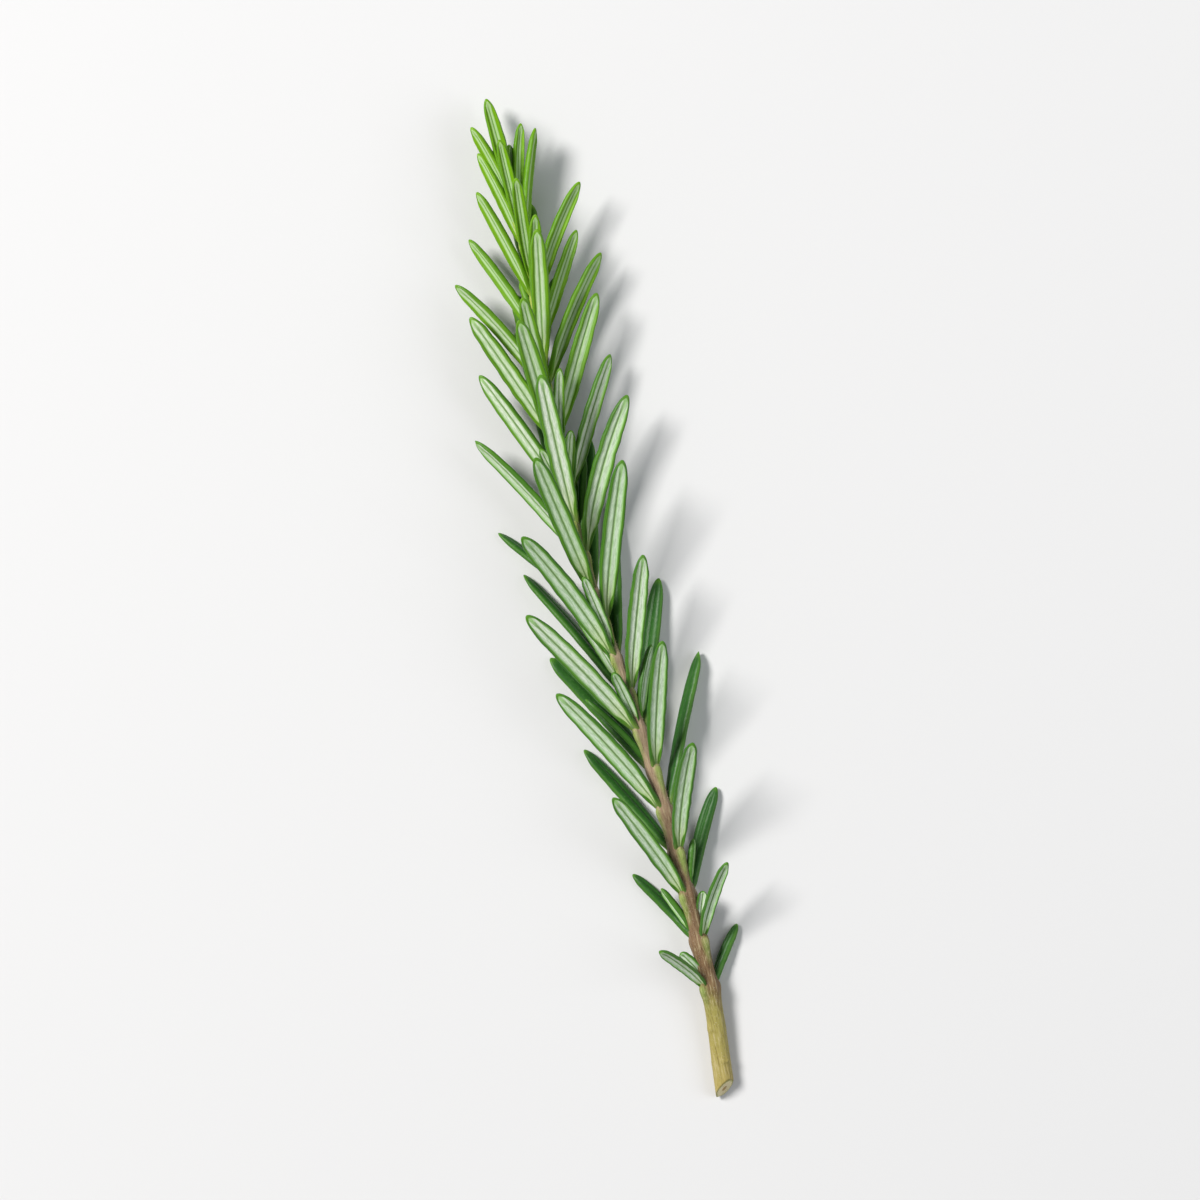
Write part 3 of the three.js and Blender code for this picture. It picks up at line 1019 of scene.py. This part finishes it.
def leaf_felt(tree, leaf):
    """Where the felt lies, from 0 to 1, and its colour: two bands between the midrib and the margins."""
    wander = scaled(tree, leaf.fibre, FELT_RAGGEDNESS, leaf.off_middle)
    ends = times(tree, rise(tree, leaf.part, FELT_START_SPAN), rise(tree, leaf.part, FELT_END_SPAN))
    reach = times(tree, ends, scaled(tree, leaf.youth, -YOUNG_FELT_LOSS, FELT_REACH))
    inside = math_node(tree, "SUBTRACT", reach, wander)
    share = times(tree, rise(tree, inside, FELT_EDGE_SPAN), leaf.below)
    share = times(tree, share, rise(tree, ends, FELT_ENDS_SPAN))

    felt = mix(tree, rise(tree, leaf.fibre, FIBRE_SPAN), FELT_DARK, FELT_PALE)
    felt = mix(tree, rise(tree, leaf.fine, FLECK_SPAN), felt, FELT_BRIGHT)
    band = times(tree, rise(tree, inside, BAND_EDGE_SPAN), rise(tree, leaf.off_middle, BAND_RIB_SPAN))
    felt = mix(tree, band, mix(tree, 1.0, felt, FELT_EDGE, "MULTIPLY"), felt)
    felt = tinted(tree, leaf.shade, felt, FELT_TONE)
    felt = mix(tree, times(tree, leaf.youth, YOUNG_FELT_SHARE), felt, YOUNG_FELT)
    base = times(tree, rise(tree, leaf.part, FELT_BASE_SPAN), FELT_BASE_SHARE)
    return share, mix(tree, base, felt, FELT_BASE)


def midrib(tree, leaf):
    """Where the fine midrib shows below, from 0 to RIB_SHARE."""
    line = rise(tree, scaled(tree, leaf.fibre, RIB_RAGGEDNESS, leaf.off_middle), RIB_SPAN)
    share = times(tree, times(tree, line, leaf.below), rise(tree, leaf.part, RIB_END_SPAN))
    return times(tree, share, RIB_SHARE)


def leaf_material():
    """Dark gloss above; below, two bands of pale felt between rolled green margins and a fine midrib."""
    material, tree, shader = new_material("rosemary_leaf")
    leaf = leaf_patterns(tree)
    felt_share, felt = leaf_felt(tree, leaf)
    colour = mix(tree, felt_share, leaf_green(tree, leaf), felt)
    colour = mix(tree, midrib(tree, leaf), colour, mix(tree, leaf.youth, OLD_RIB, YOUNG_RIB))
    join(tree, shader.inputs["Base Color"], colour)

    gloss = scaled(tree, leaf.cloud, GLOSS_SCATTER, GLOSS_ROUGHNESS)
    join(tree, shader.inputs["Roughness"], scaled(tree, felt_share, FELT_ROUGHENING, gloss))
    shader.inputs["Specular IOR Level"].default_value = LEAF_SPECULAR
    pebbles = times(tree, leaf.pebble, math_node(tree, "SUBTRACT", 1.0, felt_share))
    normal = bump(tree, pebbles, PEBBLE_BUMP)
    normal = bump(tree, times(tree, leaf.fine, felt_share), FUZZ_BUMP, normal)
    join(tree, shader.inputs["Normal"], normal)
    return material


def cut_wood(tree, object_place):
    """The colour of the cut face: pith, pale wood with rays, and a greenish rim under the bark."""
    radial = number_of(tree, "radial")
    grain = noise(tree, object_place, CUT_GRAIN)
    ring = scaled(tree, grain, RING_WANDER, math_node(tree, "SUBTRACT", radial, RING_WANDER / 2))
    rays = rise(tree, noise(tree, vector_of(tree, "spoke"), CUT_RAYS), RAY_SPAN)
    rays = times(tree, rays, rise(tree, radial, PITH_SPAN))
    return mix(tree, times(tree, rays, RAY_SHARE), ramp(tree, ring, CUT_STOPS), CUT_RAY)


def bark_material():
    """Olive at the cut, brown above it, pinkish and then yellow-green towards the tip; a pale cut face."""
    material, tree, shader = new_material("rosemary_bark")
    place = number_of(tree, "place")
    object_place = add_node(tree, "ShaderNodeTexCoord").outputs["Object"]
    streak, blotch, speck = (
        noise(tree, object_place, pattern) for pattern in (BARK_STREAK, BARK_BLOTCH, BARK_SPECK)
    )

    wander = scaled(tree, blotch, BARK_WANDER, math_node(tree, "SUBTRACT", place, BARK_WANDER / 2))
    colour = ramp(tree, math_node(tree, "DIVIDE", wander, float(STEM_LENGTH)), BARK_STOPS)
    ridge = times(tree, number_of(tree, "green"), rise(tree, place, RIDGE_GREEN_SPAN))
    ridge = times(tree, ridge, scaled(tree, blotch, RIDGE_MOTTLE, RIDGE_PLAIN))
    ridge_colour = mix(tree, rise(tree, place, RIDGE_YOUTH_SPAN), OLD_STALK, YOUNG_STALK)
    colour = mix(tree, rise(tree, ridge, RIDGE_SPAN), colour, ridge_colour)
    pale = mix(tree, BARK_PALE_SHARE, colour, BARK_PALE)
    colour = mix(tree, rise(tree, streak, PALE_STREAK_SPAN), colour, pale)
    colour = tinted(tree, rise(tree, streak, DARK_STREAK_SPAN), colour, BARK_DARK)
    colour = mix(tree, times(tree, rise(tree, speck, DOWN_SPAN), DOWN_SHARE), colour, BARK_DOWN)
    cut = rise(tree, number_of(tree, "cut"), CUT_SPAN)
    join(tree, shader.inputs["Base Color"], mix(tree, cut, colour, cut_wood(tree, object_place)))

    rough = scaled(tree, streak, BARK_ROUGHNESS_SCATTER, BARK_ROUGHNESS)
    join(tree, shader.inputs["Roughness"], rough)
    shader.inputs["Specular IOR Level"].default_value = BARK_SPECULAR
    normal = bump(tree, speck, SPECK_BUMP, bump(tree, streak, STREAK_BUMP))
    join(tree, shader.inputs["Normal"], normal)
    return material


def hair_material():
    """Pale hairs, greener towards the tip."""
    material, tree, shader = new_material("rosemary_hair")
    youth = rise(tree, number_of(tree, "place"), HAIR_YOUTH_SPAN)
    join(tree, shader.inputs["Base Color"], mix(tree, youth, OLD_HAIR, YOUNG_HAIR))
    shader.inputs["Roughness"].default_value = HAIR_ROUGHNESS
    return material


def floor_object():
    """A plain pale surface, far wider than the view."""
    corners = [(-1, -1), (1, -1), (1, 1), (-1, 1)]
    points = np.array([(FLOOR_REACH * x, FLOOR_REACH * y, -FLOOR_GAP) for x, y in corners])
    floor = mesh_object("floor", points, [(0, 1, 2, 3)], {})
    material, _, shader = new_material("pale_surface")
    shader.inputs["Base Color"].default_value = (*FLOOR_COLOUR, 1.0)
    shader.inputs["Roughness"].default_value = FLOOR_ROUGHNESS
    floor.data.materials.append(material)


def area_light(name, place, size, power, colour):
    """A soft square light that faces the sprig."""
    light = bpy.data.lights.new(name, "AREA")
    light.shape = "SQUARE"
    light.size = size
    light.energy = power
    light.color = colour
    made = bpy.data.objects.new(name, light)
    made.location = place
    made.rotation_euler = (-Vector(place)).to_track_quat("-Z", "Y").to_euler()
    bpy.context.scene.collection.objects.link(made)


def lights():
    """Two soft lights and a pale sky all round, shown without any change of tone."""
    for name, place, size, power, colour in LIGHTS:
        area_light(name, place, size, power, colour)
    world = bpy.data.worlds.new("soft_studio")
    world.use_nodes = True
    background = world.node_tree.nodes["Background"]
    background.inputs["Color"].default_value = (*WORLD_COLOUR, 1.0)
    background.inputs["Strength"].default_value = WORLD_STRENGTH
    bpy.context.scene.world = world
    bpy.context.scene.view_settings.view_transform = "Standard"
    bpy.context.scene.view_settings.look = "None"


def camera():
    """Straight down on the sprig, turned so that it leans to the left as it does in the photo."""
    low, high = cad_box
    middle = (low + high) / 2
    data = bpy.data.cameras.new("camera")
    data.sensor_width = SENSOR
    data.lens = SENSOR * CAMERA_HEIGHT / ((high.y - low.y) / SPRIG_SHARE)
    made = bpy.data.objects.new("camera", data)
    made.location = (middle.x, middle.y, middle.z + CAMERA_HEIGHT)
    made.rotation_euler = (0, 0, -math.radians(LEAN))
    bpy.context.scene.collection.objects.link(made)
    bpy.context.scene.camera = made


def main():
    plan = leaf_plan()
    leaf_look, bark_look = leaf_material(), bark_material()
    stem = stem_object(plan)
    stem.data.materials.append(bark_look)
    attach(stem, "root")
    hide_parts("woody_stem", "leafy_shoot", "young_tip")
    hairs = hairs_object(plan)
    hairs.data.materials.append(hair_material())
    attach(hairs, "root")
    for group in LEAF_GROUPS:
        members = [(number, leaf) for number, leaf in enumerate(plan) if leaf["group"] == group]
        made = leaves_object(f"{group}_leaves", members)
        made.data.materials.append(leaf_look)
        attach(made, "root")
        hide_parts("young_tip" if group == "tip" else "leafy_shoot")
    floor_object()
    lights()
    camera()


main()
